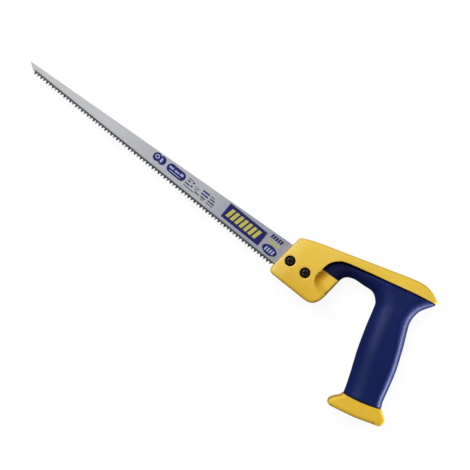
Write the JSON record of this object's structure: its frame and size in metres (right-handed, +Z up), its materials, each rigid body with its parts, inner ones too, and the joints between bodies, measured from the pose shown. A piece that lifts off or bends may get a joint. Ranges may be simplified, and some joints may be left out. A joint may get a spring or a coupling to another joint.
{
  "type": "drywall saw",
  "caption": "Pistol-grip hand saw with a long tapered toothed blade, a two-tone handle with a finger gap, and an end cap.",
  "frame": {"origin": "under the middle of the whole saw's box, on the surface that the saw lies on", "axes": "+X from the blade's nose to the handle, +Y from the toothed edge to the back, +Z up through the thickness of the saw as it lies on its side"},
  "size_m": [0.4874, 0.1492, 0.03],
  "materials": {
    "blade_steel": "ground and polished, with printed bands",
    "yellow_plastic": "moulded, satin gloss",
    "blue_rubber": "soft overmould, smooth satin",
    "black_steel": "black finish, satin"
  },
  "bodies": {
    "root": {"blade": "blade_steel", "handle_core": "yellow_plastic", "soft_grip": "blue_rubber", "butt_cap": "yellow_plastic", "front_screw": "black_steel", "rear_screw": "black_steel", "front_washer": "black_steel", "rear_washer": "black_steel", "front_nut": "black_steel", "rear_nut": "black_steel"}
  },
  "joints": []
}
